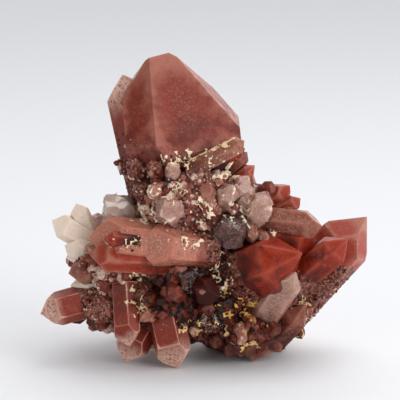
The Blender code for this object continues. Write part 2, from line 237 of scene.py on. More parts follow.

# Places where shade is painted on the hearts: the left face of the top, the lower middle and the base
HEART_SHADES = [
    Patch((-33, 2, 66), (9, 12, 12), 0.75),
    Patch((2, -12, 28), (10, 12, 9), 0.7),
    Patch((-10, -22, 24), (20, 12, 13), 0.7),
    Patch((-4, -18, 26), (8, 14, 14), 0.5),
    Patch((4, -20, 8), (18, 14, 9), 0.5),
]

CRUSTS = [
    Crust((-12, -20, 69.5), (12, 9, 3.5), 0.1, 1.0),
    Crust((-20, -22, 59), (14, 9, 3.5), 0.15, 1.1),
    Crust((-32, -20, 57), (6, 8, 6), 0.0, 1.0),
    Crust((-27, -20, 49), (6, 8, 3), 0.0, 1.1),
    Crust((0, -20, 66), (8, 9, 5), 0.1, 1.1),
    Crust((-8, -26, 50), (6, 7, 6), 0.1, 1.1),
    Crust((3, -22, 54), (7, 8, 6), 0.0, 0.9),
    Crust((-30, -22, 25), (4, 8, 8), 0.4, 0.9),
    Crust((-34, -25, 42), (6, 5, 2.5), 0.4, 1.25),
    Crust((-14, -24, 43), (6, 5, 3), 0.1, 1.1),
    Crust((-2.5, -23, 28), (4, 8, 9), 0.35, 1.1),
    Crust((6, -22, 20), (8, 8, 7), 1.0, 0.85),
    Crust((4, -20, 5), (5, 8, 4), 0.8, 0.9),
    Crust((-10, -22, 13), (12, 8, 3), 0.7, 0.9),
    Crust((17, -20, 46), (5, 7, 4), 0.1, 0.9),
    Crust((24, -14, 15), (6, 8, 9), 0.5, 0.9),
    Crust((-6, 14, 46), (18, 12, 7), 0.1, 0.9),
    Crust((-22, 14, 26), (9, 12, 9), 0.4, 0.9),
    Crust((12, 14, 18), (10, 12, 9), 0.8, 0.9),
]

# A golden edge along the upper side of the bar: where it starts, the step to its next patch, and how many
BAR_EDGE_START = (-15, -21, 67.8)
BAR_EDGE_STEP = (3.2, 0, 1.65)
BAR_EDGE_PATCHES = 7
for place in range(BAR_EDGE_PATCHES):
    edge_centre = tuple(start + step * place for start, step in zip(BAR_EDGE_START, BAR_EDGE_STEP))
    CRUSTS.append(Crust(edge_centre, (2.6, 2.4, 1.1), 0.5, 2.0))

# How the crust is broken up: the noise's coarse and fine waves a mm, the share of the fine ones, what a
# patch adds and what is taken off, and the holes' distance in mm, reach and steepness
CRUST_COARSE = 0.33
CRUST_FINE = 1.1
CRUST_FINE_SHARE = 0.7
CRUST_SHIFT = Vector((3, 8, 2))
CRUST_PATCH_SHARE = 0.46
CRUST_THINNING = 0.52
CRUST_HOLES = 1.3
CRUST_HOLE_REACH = 0.33
CRUST_HOLE_RISE = 1.6
CRUST_LEAST = 0.02
# A patch's gold reaches this far from its centre, where 1 is its edge
CRUST_GOLD_REACH = 1.3

# The small crystals' shapes: length in girths, roll and habit
DRUSE_SHAPES = [
    (2.0, 30, "even"),
    (3.2, 10, "three_faced"),
    (1.4, 0, "blunt"),
    (2.6, 20, "slanted"),
]

# Hearts that have no clear skin. The others are ragged, and lie a little inside their skin.
BARE_HEARTS = ("phantom", "mauve", "red", "blush", "rosy", "dusky", "brown", "white")

# How often a heart's faces are parted, by the girth in mm that it stays below
HEART_LEVELS = [(3, 2), (6, 3), (12, 4), (math.inf, 5)]

# Large uneven numbers that scatter a plate's tilt and tone
SCATTER_WAY = Vector((12.9898, 78.233, 37.719))
SCATTER_STEP = 5.17
SCATTER_SPREAD = 43758.5453

# Plates of the matrix and of the broken crystals: width in mm and share of their height
MATRIX_PLATES = [(6.0, 1.0), (2.6, 0.55)]
BROKEN_PLATES = [(4.5, 1.0), (1.8, 0.4)]
# How much a plate tilts and how deep it lies, as shares of the plates' height
PLATE_TILT = 2.2
PLATE_SINK = 0.6

# Crystals that no lesser ones grow beside
CLEAN = (
    "bar", "top_left", "shoulder_clear", "shoulder_long", "shoulder_red", "right_middle",
    "neck_front_4", "neck_front_5", "neck_left", "right_bud", "right_low", "left_long_low",
    "left_hook", "left_face", "left_clear", "left_low", "hanging_1", "hanging_2", "hanging_3",
    "white_up", "white_out", "white_low", "middle_clear", "middle_grey",
)

# Lesser crystals beside one: how many (the second number is one more than the most), the widest crystal
# that has them, their girth, how far they lean,
# how far back from the tip and out from the axis they end, how low they may reach, and how much their
# tones vary. Lengths are in girths of the crystal, but the widest and the lowest are in mm.
SATELLITES = (4, 9)
SATELLITE_WIDEST = 6.3
SATELLITE_GIRTH = (0.2, 0.5)
SATELLITE_LEAN = (0.0, 0.45)
SATELLITE_BACK = (0.3, 1.8)
SATELLITE_OUT = (0.6, 0.95)
SATELLITE_LOWEST = 2
SATELLITE_TONE_SPREAD = 0.12

# The tone of the lesser crystals beside each kind of heart
HEART_TONES = {
    "blush": 0.45,
    "veiled": 0.8,
    "smoky": 0.4,
    "dusky": 0.5,
    "mauve": 0.5,
    "red": 0.42,
    "rosy": 0.55,
    "phantom": 0.55,
    "brown": 0.35,
    "grey": 0.72,
    "white": 0.95,
}

# Seeds of what grows at random
MATRIX_DRUSE_SEED = 11
SIDE_DRUSE_SEED = 12
SATELLITE_SEED = 13
BUD_TONE_SEED = 5

# Girths of the small crystals on the matrix, in mm: the large, the middling and the fine ones
DRUSE_SIZES = [(1.1, 2.2), (0.6, 1.1), (0.3, 0.6)]

# How the tones of the small growth are spread, on the matrix and on the sides
MATRIX_TONES = (1.9, 1.4)
SIDE_TONES = (1.9, 1.9)

# How closely a small crystal follows the surface's normal, on the matrix and on the sides, and how much
# it strays from there
MATRIX_UPRIGHT = 0.75
SIDE_UPRIGHT = 0.8
DRUSE_STRAY = 0.45

# How deep the small crystals' roots lie, in girths, on the matrix and on the sides
MATRIX_SINK = 1
SIDE_SINK = 0.7

# A small crystal is left out this deep in a large one or this low, in mm, or this deep in a lump (1 is
# the skin). Above the ground it needs this many girths, and more where it leans down.
DRUSE_HIDDEN = 0.2
DRUSE_LOWEST = 1.5
DRUSE_BURIED = 0.9
DRUSE_ROOM = 1.2
DRUSE_LEAN_ROOM = 2.5

# Small crystals on the sides: how many a square mm, their usual girth in mm, its spread and its limits,
# the share of it where they are fine, and the share of the length over which they thin out
SIDE_DENSITY = 0.9
SIDE_GIRTH = 0.42
SIDE_SPREAD = 0.4
SIDE_LIMITS = (0.2, 1.1)
FINE_SHARE = 0.6
SIDE_FADE = 0.12

# Crystals whose small crystals are fine
FINE_DRUSE = (
    "right_large", "right_stub", "top", "top_left", "left_long", "left_face", "left_low",
    "left_low_2", "middle_left", "neck_front_1", "neck_front_4", "neck_front_5",
)

# How far up from its foot the small crystals cover a large one, as a share of its length
DRUSE_COVER = {
    "right_stub": 1.1,
    "left_long": 0.2,
    "left_face": 0.15,
    "top": 0.42,
    "top_left": 0.45,
    "neck_front_1": 1.1,
    "neck_front_4": 1.1,
    "neck_front_5": 1.1,
    "neck_left": 0.9,
    "left_brown": 0.6,
    "left_low_2": 1.1,
    "middle_left": 1.1,
    "middle_dark": 0.8,
    "right_large": 0.70,
    "right_middle": 0.45,
    "right_front": 0.42,
    "left_low": 0.45,
    "hanging_2": 0.35,
    "back_large": 0.4,
    "back_left": 0.4,
    "back_low": 0.4,
    "back_right": 0.4,
}


class QuartzSizes(bpy.types.PropertyGroup):
    """The sizes that a user may change."""

    edge_wear: FloatProperty(
        name="Edge wear",
        description="Width of the worn edges of the crystals",
        default=0.22 * MM,
        unit="LENGTH",
        precision=5,
    )
    heart_inset: FloatProperty(
        name="Heart inset",
        description="Clear depth at the sides of a crystal with a skin, as a share of its girth",
        default=0.09,
        subtype="FACTOR",
    )
    matrix_grain: FloatProperty(
        name="Matrix grain",
        description="Width of the faces of the matrix",
        default=0.55 * MM,
        unit="LENGTH",
        precision=5,
    )
    matrix_roughness: FloatProperty(
        name="Matrix roughness",
        description="Height of the plates of the matrix",
        default=1.5 * MM,
        unit="LENGTH",
        precision=5,
    )
    druse_count: IntProperty(
        name="Small crystals", description="How many small crystals are tried", default=6500, min=0
    )
    crust_grain: FloatProperty(
        name="Crust grain",
        description="Width of the faces of the crust",
        default=0.27 * MM,
        unit="LENGTH",
        precision=5,
    )
    crust_depth: FloatProperty(
        name="Crust depth",
        description="Thickness of the crust",
        default=0.35 * MM,
        unit="LENGTH",
        precision=5,
    )


def colour(name, description, value):
    """A colour that the user may change."""
    return FloatVectorProperty(
        name=name, description=description, default=value, subtype="COLOR", size=3, min=0, max=1
    )


class QuartzColours(bpy.types.PropertyGroup):
    """The colours that a user may change. Those of the hearts are in the table of tints."""

    skin: colour("Clear skin", "Tint of the clear outer quartz", (0.95, 0.80, 0.75))
    grey: colour("Grey", "Greyish pink of the clearer small growth", (0.44, 0.20, 0.145))
    mauve: colour("Mauve", "Mauve brown of the small growth", (0.27, 0.070, 0.045))
    pale: colour("Pale", "Palest small growth", (0.80, 0.60, 0.49))
    matrix: colour("Matrix", "Red brown of the matrix", (0.14, 0.025, 0.015))
    stain: colour("Stain", "Orange red stains", (0.36, 0.055, 0.022))
    # Near black: the iron oxide's own dark, and also the painted shade of the deepest hollows, where the
    # tone bottoms out
    dark: colour("Dark", "Near black of the iron oxide", (0.020, 0.007, 0.005))
    cream: colour("Cream", "Cream of the crust", (0.97, 0.81, 0.60))
    gold: colour("Gold", "Golden yellow of the crust", (0.70, 0.40, 0.08))


class QuartzStage(bpy.types.PropertyGroup):
    """The stage that a user may change."""

    distance: FloatProperty(
        name="Distance", description="From the camera to the cluster", default=0.62, unit="LENGTH"
    )
    elevation: FloatProperty(
        name="Elevation",
        description="The camera's angle above level",
        default=math.radians(11),
        subtype="ANGLE",
    )
    width: FloatProperty(
        name="Width", description="Width of the view at the cluster", default=0.4 / 3, unit="LENGTH"
    )
    floor: colour("Floor", "Pale floor", (0.82, 0.83, 0.845))
    daylight: FloatProperty(name="Daylight", description="Strength of the even light", default=0.70)


def deselect_all():
    for obj in list(bpy.context.selected_objects):
        obj.select_set(False)


def pick(*objects):
    """Selects these objects alone, the last one active."""
    deselect_all()
    for obj in objects:
        obj.select_set(True)
    bpy.context.view_layer.objects.active = objects[-1]


def joined(objects, name):
    pick(*objects)
    if len(objects) > 1:
        bpy.ops.object.join()
    made = bpy.context.view_layer.objects.active
    made.name = name
    made.data.name = name
    return made


def apply_modifier(obj, kind, name, **values):
    """Adds a modifier, sets its values and applies it."""
    pick(obj)
    made = obj.modifiers.new(name, kind)
    for key, value in values.items():
        setattr(made, key, value)
    bpy.ops.object.modifier_apply(modifier=made.name)


def smooth(obj):
    pick(obj)
    bpy.ops.object.shade_smooth()


def cut_planes(crystal, side_in=0.0, end_in=0.0):
    """Each face as a point on it and its outward normal: foot, six sides, six end faces. Lengths in mm."""
    foot = Vector(crystal.foot)
    tip = Vector(crystal.tip)
    axis = (tip - foot).normalized()
    front = (TOWARDS_VIEWER - axis * TOWARDS_VIEWER.dot(axis)).normalized()
    side = axis.cross(front)
    planes = [(foot, -axis)]
    for face, past_tip in enumerate(HABITS[crystal.habit]):
        turn = math.radians(60 * face + crystal.roll)
        out = front * math.cos(turn) + side * math.sin(turn)
        away = crystal.girth * (crystal.flat if face in (0, 3) else 1)
        planes.append((foot + out * (away - side_in), out))
        end_normal = out * math.sin(POINT_SLOPE) + axis * math.cos(POINT_SLOPE)
        end_point = tip + axis * crystal.girth * past_tip
        planes.append((end_point - end_normal * end_in, end_normal))
    return planes


def cut_away(point, normal):
    """Cuts off what lies past a plane, in metres, and closes the cut. Works in edit mode."""
    bpy.ops.mesh.select_all(action="SELECT")
    bpy.ops.mesh.bisect(
        plane_co=point, plane_no=normal, use_fill=True, clear_outer=True, threshold=CUT_TOLERANCE
    )


def cut_block(name, planes, middle, size):
    """A block in metres, cut by planes given in mm."""
    deselect_all()
    bpy.ops.mesh.primitive_cube_add(size=size * MM, location=middle * MM)
    obj = bpy.context.active_object
    obj.name = name
    bpy.ops.object.mode_set(mode="EDIT")
    for point, normal in planes:
        cut_away(point * MM, normal)
    bpy.ops.object.mode_set(mode="OBJECT")
    bpy.ops.object.transform_apply(location=True, rotation=False, scale=False)
    return obj


def crystal_block(crystal, side_in=0.0, end_in=0.0):
    foot = Vector(crystal.foot)
    tip = Vector(crystal.tip)
    size = 3 * ((tip - foot).length + 2 * crystal.girth)
    planes = cut_planes(crystal, side_in, end_in)
    if min(foot.z, tip.z) < 2 * crystal.girth:
        planes.append(GROUND)
    return cut_block(crystal.name, planes, (foot + tip) / 2, size)


def lump_turn(lump):
    return Euler([math.radians(angle) for angle in lump.turn]).to_matrix()


def inside_lump(point, lump, cover=LUMP_COVER):
    local = lump_turn(lump).transposed() @ (point - Vector(lump.centre))
    return sum((c / r) ** 2 for c, r in zip(local, lump.radii)) < cover


def inside_crystal(point, crystal):
    return all((point - on_face).dot(normal) < CRYSTAL_COVER for on_face, normal in cut_planes(crystal))


def direction(rng):
    """A direction picked evenly over the sphere."""
    height = rng.uniform(-1, 1)
    angle = rng.uniform(0, math.tau)
    level = math.sqrt(1 - height * height)
    return Vector((level * math.cos(angle), level * math.sin(angle), height))


def bud_crystals():
    """Small crystals that stand out of the lumps wherever no named crystal covers them."""
    rng = random.Random(BUD_SEED)
    buds = []
    while len(buds) < BUD_COUNT:
        lump = LUMPS[rng.randrange(len(LUMPS))]
        way = direction(rng)
        turn = lump_turn(lump)
        scaled = Vector([c * r for c, r in zip(way, lump.radii)])
        root = turn @ scaled + Vector(lump.centre)
        outward = (turn @ Vector([c / r for c, r in zip(way, lump.radii)])).normalized()
        lean = (outward + direction(rng) * BUD_TILT).normalized()
        girth = rng.uniform(*BUD_GIRTH)
        reach = girth * rng.uniform(*BUD_REACH)
        roll = rng.uniform(0, 60)
        habit = rng.choice(BUD_HABITS)
        tip = root + lean * reach
        covered = any(inside_lump(root, other) for other in LUMPS if other is not lump)
        covered = covered or any(inside_crystal(root, c) or inside_crystal(tip, c) for c in CRYSTALS)
        if covered or min(root.z, tip.z) < BUD_CLEAR_OF_BASE:
            continue
        foot = root - lean * girth * BUD_SINK
        buds.append(Crystal(f"bud_{len(buds) + 1:02d}", foot, tip, girth, roll, 1, habit))
    return buds


def coordinates(obj):
    places = np.empty(len(obj.data.vertices) * 3, np.float32)
    obj.data.vertices.foreach_get("co", places)
    return places.reshape(-1, 3) / MM


def set_attribute(obj, name, values):
    made = obj.data.attributes.new(name, "FLOAT", "POINT")
    made.data.foreach_set("value", np.asarray(values, np.float32))


def plane_gaps(points, planes):
    """How far inside each plane each point is, in mm."""
    on = np.array([tuple(point) for point, normal in planes])
    out = np.array([tuple(normal) for point, normal in planes])
    return (on * out).sum(1) - points @ out.T


def chance(seed_point, number):
    """A value from 0 to 1 that belongs to a point."""
    mixed = seed_point.dot(SCATTER_WAY) + number * SCATTER_STEP
    return abs(math.sin(mixed) * SCATTER_SPREAD) % 1


def plates(obj, height, sizes):
    """Breaks a surface into tilted flat plates of several sizes, and gives each its tone."""
    places = coordinates(obj)
    normals = np.empty(places.size, np.float32)
    obj.data.vertices.foreach_get("normal", normals)
    normals = normals.reshape(-1, 3)
    rise = np.zeros(len(places))
    tone = np.zeros(len(places))
    for size, share in sizes:
        for i, place in enumerate(places):
            spot = Vector(place) / size
            centre = noise.voronoi(spot)[1][0]
            tilt = Vector([chance(centre, k) - 0.5 for k in range(3)])
            raised = PLATE_TILT * tilt.dot(spot - centre) + chance(centre, 3) - PLATE_SINK
            rise[i] += height * share * raised
            tone[i] += chance(centre, 4) * share
    moved = (places + normals * rise[:, None]) * MM
    obj.data.vertices.foreach_set("co", moved.astype(np.float32).ravel())
    obj.data.update()
    set_attribute(obj, "tone", tone / sum(share for size, share in sizes))


def patch_distance(points, patch):
    """How far from a patch's centre each point is, where 1 is its edge."""
    return np.sqrt((((points - patch.centre) / patch.radii) ** 2).sum(1))


def inside_patch(points, patch):
    """1 in the middle of a patch, falling to 0 a third of the way past its edge."""
    return np.clip(1.6 - 1.2 * patch_distance(points, patch), 0, 1)


def shade_at(points, patches=SHADES):
    """How much painted shade, light or glow the patches give each point."""
    return sum(patch.shade * inside_patch(points, patch) for patch in patches)


class Nodes:
    """Builds a material's nodes."""

    def __init__(self, name):
        self.material = bpy.data.materials.new(name)
        self.material.use_nodes = True
        self.tree = self.material.node_tree
        self.shader = self.tree.nodes["Principled BSDF"]
        self.output = self.tree.nodes["Material Output"]
        self.place = self.tree.nodes.new("ShaderNodeTexCoord").outputs["Object"]

    def plain(self, **values):
        for key, value in values.items():
            self.shader.inputs[key.replace("_", " ")].default_value = value

    def link(self, source, socket):
        self.tree.links.new(source, self.shader.inputs[socket])

    def attribute(self, name):
        made = self.tree.nodes.new("ShaderNodeAttribute")
        made.attribute_name = name
        return made.outputs["Fac"]

    def noise(self, size, detail=3.0, roughness=0.5, distortion=0.0):
        """Noise whose features are about size mm wide."""
        made = self.tree.nodes.new("ShaderNodeTexNoise")
        made.inputs["Scale"].default_value = 1 / (size * MM)
        made.inputs["Detail"].default_value = detail
        made.inputs["Roughness"].default_value = roughness
        made.inputs["Distortion"].default_value = distortion
        self.tree.links.new(self.place, made.inputs["Vector"])
        return made.outputs["Fac"]

    def growth_lines(self, size):
        """Lines across a crystal, about size mm apart, from its own lengthwise places."""
        made = self.tree.nodes.new("ShaderNodeTexNoise")
        made.noise_dimensions = "1D"
        made.inputs["Scale"].default_value = 1 / size
        made.inputs["Detail"].default_value = 4
        made.inputs["Roughness"].default_value = 0.7
        self.tree.links.new(self.attribute("along"), made.inputs["W"])
        return made.outputs["Fac"]

    def scaled(self, source, low, high, to_low=0.0, to_high=1.0):
        made = self.tree.nodes.new("ShaderNodeMapRange")
        made.inputs["From Min"].default_value = low
        made.inputs["From Max"].default_value = high
        made.inputs["To Min"].default_value = to_low
        made.inputs["To Max"].default_value = to_high
        self.tree.links.new(source, made.inputs["Value"])
        return made.outputs["Result"]

    def maths(self, operation, first, second):
        made = self.tree.nodes.new("ShaderNodeMath")
        made.operation = operation
        for socket, value in zip(made.inputs, (first, second)):
            if isinstance(value, (int, float)):
                socket.default_value = value
            else:
                self.tree.links.new(value, socket)
        return made.outputs["Value"]

    def mix(self, factor, first, second):
        """A colour between two colours, each a socket or a plain colour."""
        made = self.tree.nodes.new("ShaderNodeMix")
        made.data_type = "RGBA"
        self.tree.links.new(factor, made.inputs["Factor"])
        for socket, value in ((made.inputs["A"], first), (made.inputs["B"], second)):
            if isinstance(value, bpy.types.NodeSocket):
                self.tree.links.new(value, socket)
            else:
                socket.default_value = (*value, 1)
        return made.outputs["Result"]

    def ramp(self, source, stops):
        made = self.tree.nodes.new("ShaderNodeValToRGB")
        elements = made.color_ramp.elements
        while len(elements) < len(stops):
            elements.new(0.5)
        for element, (place, value) in zip(elements, stops):
            element.position = place
            element.color = (*value, 1)
        self.tree.links.new(source, made.inputs["Fac"])
        return made.outputs["Color"]

    def bump(self, height, depth):
        """Bump whose full height is depth mm."""
        made = self.tree.nodes.new("ShaderNodeBump")
        made.inputs["Distance"].default_value = depth * MM
        self.tree.links.new(height, made.inputs["Height"])
        self.link(made.outputs["Normal"], "Normal")


# Colours of a heart: at its edges, a little way in, in its faces, at its root, and of its specks and
# wisps. rim is the width of its pale edge as a share of the girth, wisps is their strength, and root is
# where the root's colour begins, as a share of the way back from the tip.
Tints = namedtuple("Tints", "edge glow body foot speck rim wisps root")

HEART_TINTS = {
    "mauve": Tints(
        edge=(0.37, 0.130, 0.090),
        glow=(0.225, 0.031, 0.016),
        body=(0.118, 0.030, 0.021),
        foot=(0.09, 0.008, 0.004),
        speck=(0.28, 0.115, 0.086),
        rim=0.13,
        wisps=0,
        root=0.3,
    ),
    "red": Tints(
        edge=(0.36, 0.055, 0.026),
        glow=(0.29, 0.020, 0.006),
        body=(0.20, 0.011, 0.003),
        foot=(0.04, 0.004, 0.002),
        speck=(0.30, 0.055, 0.028),
        rim=0.09,
        wisps=0.1,
        root=0.25,
    ),
    "blush": Tints(
        edge=(0.42, 0.155, 0.105),
        glow=(0.34, 0.033, 0.012),
        body=(0.25, 0.023, 0.009),
        foot=(0.08, 0.012, 0.007),
        speck=(0.33, 0.085, 0.052),
        rim=0.11,
        wisps=0.15,
        root=0.5,
    ),
    "rosy": Tints(
        edge=(0.527, 0.187, 0.122),
        glow=(0.476, 0.164, 0.107),
        body=(0.425, 0.156, 0.104),
        foot=(0.204, 0.035, 0.021),
        speck=(0.629, 0.328, 0.237),
        rim=0.10,
        wisps=0.2,
        root=0.6,
    ),
    "dusky": Tints(
        edge=(0.370, 0.160, 0.110),
        glow=(0.264, 0.077, 0.050),
        body=(0.211, 0.066, 0.043),
        foot=(0.106, 0.020, 0.012),
        speck=(0.409, 0.220, 0.160),
        rim=0.12,
        wisps=0.5,
        root=0.5,
    ),
    "phantom": Tints(
        edge=(0.66, 0.41, 0.325),
        glow=(0.27, 0.032, 0.014),
        body=(0.15, 0.020, 0.010),
        foot=(0.18, 0.040, 0.026),
        speck=(0.25, 0.062, 0.038),
        rim=0.0,
        wisps=0.1,
        root=0.8,
    ),
    "brown": Tints(
        edge=(0.27, 0.090, 0.058),
        glow=(0.19, 0.039, 0.023),
        body=(0.11, 0.022, 0.014),
        foot=(0.040, 0.007, 0.0045),
        speck=(0.32, 0.14, 0.10),
        rim=0.10,
        wisps=0.4,
        root=0.4,
    ),
    "smoky": Tints(
        edge=(0.248, 0.105, 0.076),
        glow=(0.136, 0.044, 0.030),
        body=(0.087, 0.026, 0.017),
        foot=(0.043, 0.009, 0.006),
        speck=(0.465, 0.252, 0.198),
        rim=0.06,
        wisps=0.7,
        root=0.5,
    ),
    "grey": Tints(
        edge=(0.862, 0.600, 0.500),
        glow=(0.739, 0.456, 0.360),
        body=(0.616, 0.334, 0.252),
        foot=(0.299, 0.065, 0.040),
        speck=(0.871, 0.699, 0.619),
        rim=0.10,
        wisps=0.8,
        root=0.6,
    ),
    "veiled": Tints(
        edge=(1.00, 0.90, 0.82),
        glow=(0.97, 0.80, 0.71),
        body=(0.93, 0.70, 0.60),
        foot=(0.55, 0.19, 0.13),
        speck=(1.00, 0.96, 0.92),
        rim=0.10,
        wisps=0.8,
        root=0.6,
    ),
    "white": Tints(
        edge=(0.856, 0.722, 0.608),
        glow=(0.837, 0.671, 0.544),
        body=(0.800, 0.619, 0.488),
        foot=(0.577, 0.310, 0.216),
        speck=(0.883, 0.774, 0.672),
        rim=0.10,
        wisps=0.5,
        root=0.6,
    ),
}

# Colours of the grains on the overgrown parts of a crystal, from the hollows up. The same noise raises the
# bump, so the near black of its hollows is painted shade over the grains' own colours
GRAIN_COLOURS = [
    (0.36, (0.020, 0.007, 0.005)),
    (0.45, (0.12, 0.026, 0.016)),
    (0.54, (0.26, 0.090, 0.060)),
    (0.66, (0.46, 0.24, 0.17)),
]


def skin_material(tint):
    """Clear quartz, slightly frosted, with fine growth lines across it."""
    nodes = Nodes("clear_skin")
    nodes.plain(Base_Color=(*tint, 1), IOR=QUARTZ_IOR, Transmission_Weight=1, Specular_IOR_Level=0.3)
    frost = nodes.noise(2.6, detail=5)
    nodes.link(nodes.scaled(frost, 0.38, 0.68, SKIN_ROUGHNESS * 0.6, SKIN_ROUGHNESS * 1.8), "Roughness")
    lines = nodes.growth_lines(0.8)
    pits = nodes.scaled(nodes.noise(1.3, detail=4, roughness=0.6), 0.35, 0.7)
    nodes.bump(nodes.maths("ADD", nodes.maths("MULTIPLY", lines, 0.6), pits), 0.035)
    absorption = nodes.tree.nodes.new("ShaderNodeVolumeAbsorption")
    absorption.inputs["Color"].default_value = (*tint, 1)
    absorption.inputs["Density"].default_value = SKIN_DENSITY
    nodes.tree.links.new(absorption.outputs["Volume"], nodes.output.inputs["Volume"])
    return nodes.material


def heart_material(kind, tints):
    """A cloudy inside: pale by its edges and tip, its glow just inside them, and dark at its foot."""
    nodes = Nodes(kind + "_heart")
    wander = nodes.noise(4.5, detail=4, roughness=0.55)
    inner = nodes.maths("ADD", nodes.attribute("edge"), nodes.scaled(wander, 0.3, 0.7, -0.6, 0.6))
    base = nodes.mix(nodes.scaled(inner, 0.0, 1.4), tints.edge, tints.glow)
    base = nodes.mix(nodes.scaled(inner, 1.2, 3.4), base, tints.body)
    mottle = nodes.noise(2.0, detail=6, roughness=0.62, distortion=0.6)
    base = nodes.mix(nodes.scaled(mottle, 0.46, 0.68, 0, 0.3), base, [c * 0.6 for c in tints.body])
    clouds = nodes.scaled(nodes.noise(11, detail=2), 0.45, 0.7, 0, 0.3)
    base = nodes.mix(clouds, base, tints.glow)
    shift = nodes.scaled(wander, 0.3, 0.7, -0.25, 0.25)
    ember = nodes.scaled(nodes.maths("ADD", nodes.attribute("ember"), shift), 0.2, 0.9, 0, 0.8)
    base = nodes.mix(nodes.maths("MULTIPLY", ember, nodes.scaled(inner, 0, 1.2)), base, tints.glow)
    haze = nodes.scaled(nodes.maths("ADD", nodes.attribute("haze"), shift), 0.1, 0.95)
    base = nodes.mix(haze, base, tints.edge)
    specks = nodes.scaled(nodes.noise(0.75, detail=2), 0.50, 0.66, 0, 0.85)
    specks = nodes.maths("MULTIPLY", specks, nodes.scaled(inner, 0.3, 3.0, 0.2, 1.0))
    base = nodes.mix(specks, base, tints.speck)
    if tints.wisps:
        veil = nodes.noise(3.4, detail=6, distortion=1.4)
        ridge = nodes.maths("ABSOLUTE", nodes.maths("SUBTRACT", veil, 0.5), 0)
        base = nodes.mix(nodes.scaled(ridge, 0.0, 0.045, tints.wisps, 0), base, tints.speck)
    foot = nodes.maths("ADD", nodes.attribute("foot"), shift)
    base = nodes.mix(nodes.scaled(foot, tints.root, tints.root + 0.5), base, tints.foot)
    # Painted shade: where the patches paint it, the colour is pulled to the dark of the root
    dark = nodes.maths("ADD", nodes.attribute("dark"), shift)
    base = nodes.mix(nodes.scaled(dark, 0.1, 0.9), base, tints.foot)
    rough = nodes.scaled(nodes.maths("ADD", nodes.attribute("rough"), shift), 0.4, 0.6)
    # The grains' colours follow the noise of their bump: near black in its hollows, as painted shade
    grains = nodes.noise(0.9, detail=6, roughness=0.7)
    base = nodes.mix(rough, base, nodes.ramp(grains, GRAIN_COLOURS))
    nodes.link(base, "Base Color")
    nodes.plain(Specular_IOR_Level=0.2, Subsurface_Weight=0.4, Subsurface_Scale=1.2 * MM)
    nodes.plain(Subsurface_Radius=(1.0, 0.7, 0.6))
    if kind in BARE_HEARTS:
        nodes.plain(IOR=QUARTZ_IOR)
        nodes.link(nodes.scaled(nodes.noise(2.6, detail=5), 0.35, 0.7, 0.26, 0.5), "Roughness")
    else:
        nodes.plain(Roughness=0.6)
    lines = nodes.maths("MULTIPLY", nodes.growth_lines(0.8), 0.4)
    relief = nodes.maths("ADD", nodes.noise(0.7, detail=5), lines)
    raised_grains = nodes.maths("MULTIPLY", nodes.maths("MULTIPLY", grains, rough), 6)
    nodes.bump(nodes.maths("ADD", relief, raised_grains), 0.08)
    return nodes.material


def stone_colour(nodes, tone, colours):
    """Colour of the small growth by tone: near black, red brown, mauve, greyish pink, pale."""
    # The tone has the painted shade of the patches taken off, so its dark end is partly painted shade in
    # the hollows
    base = nodes.ramp(
        tone,
        [
            (0.0, colours.dark),
            (0.14, [c * 0.5 for c in colours.matrix]),
            (0.34, colours.matrix),
            (0.52, colours.mauve),
            (0.72, colours.grey),
            (0.9, colours.pale),
        ],
    )
    stains = nodes.scaled(nodes.noise(2.2, detail=5, roughness=0.6), 0.50, 0.62, 0, 0.5)
    return nodes.mix(stains, base, colours.stain)


def matrix_material(colours):
    nodes = Nodes("quartz_matrix")
    grain = nodes.noise(2.4, detail=7, roughness=0.68)
    tone = nodes.maths("ADD", nodes.attribute("tone"), nodes.scaled(grain, 0.3, 0.7, -0.3, 0.2))
    # Painted shade: the patches take tone off, so the matrix is darker where shade is painted and paler
    # where light is
    tone = nodes.maths("SUBTRACT", tone, nodes.attribute("dark"))
    nodes.link(stone_colour(nodes, tone, colours), "Base Color")
    nodes.link(nodes.scaled(grain, 0.3, 0.7, 0.62, 0.28), "Roughness")
    nodes.bump(nodes.noise(0.9, detail=6, roughness=0.7), 0.5)
    return nodes.material


def druse_material(colours):
    """Small crystals, each with its own tone."""
    nodes = Nodes("druse")
    cloud = nodes.scaled(nodes.noise(1.4, detail=4), 0.3, 0.7, -0.16, 0.16)
    tone = nodes.maths("ADD", nodes.attribute("tone"), cloud)
    nodes.link(stone_colour(nodes, tone, colours), "Base Color")
    nodes.plain(Roughness=0.35, IOR=QUARTZ_IOR, Transmission_Weight=0.1, Specular_IOR_Level=0.2)
    nodes.bump(nodes.noise(0.5, detail=4), 0.08)
    return nodes.material


def crust_material(colours):
    nodes = Nodes("cream_crust")
    gold = nodes.attribute("gold")
    base = nodes.mix(gold, colours.cream, colours.gold)
    stains = nodes.scaled(nodes.noise(1.1, detail=5, roughness=0.6), 0.52, 0.68, 0, 0.8)
    base = nodes.mix(stains, base, [c * f for c, f in zip(colours.cream, (0.42, 0.26, 0.17))])
    nodes.link(base, "Base Color")
    nodes.plain(Roughness=0.5)
    nodes.bump(nodes.noise(0.4, detail=4), 0.12)
    return nodes.material


def dress(obj, material):
    """Gives a finished piece its looks and ties it to the part."""
    obj.data.materials.clear()
    obj.data.materials.append(material)
    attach(obj, BODY)


def lengthwise(crystal, places):
    """How far back from the tip each place is, in mm."""
    axis = (Vector(crystal.tip) - Vector(crystal.foot)).normalized()
    return (places - np.array(crystal.tip)) @ -np.array(axis)


def wear_of(crystal, sizes):
    """Width of a crystal's worn edges, in metres."""
    return min(sizes.edge_wear, crystal.girth * 0.06 * MM)


def make_skins(crystals, name, sizes, material):
    """The clear outsides of a group of crystals."""
    skins = []
    for crystal in crystals:
        skin = crystal_block(crystal)
        if crystal.habit == "blunt":
            apply_modifier(skin, "REMESH", "grain", mode="VOXEL", voxel_size=0.4 * MM)
            plates(skin, 0.7, BROKEN_PLATES)
        else:
            apply_modifier(skin, "BEVEL", "wear", width=wear_of(crystal, sizes), segments=2)
        set_attribute(skin, "along", lengthwise(crystal, coordinates(skin)))
        skins.append(skin)
    dress(joined(skins, name), material)


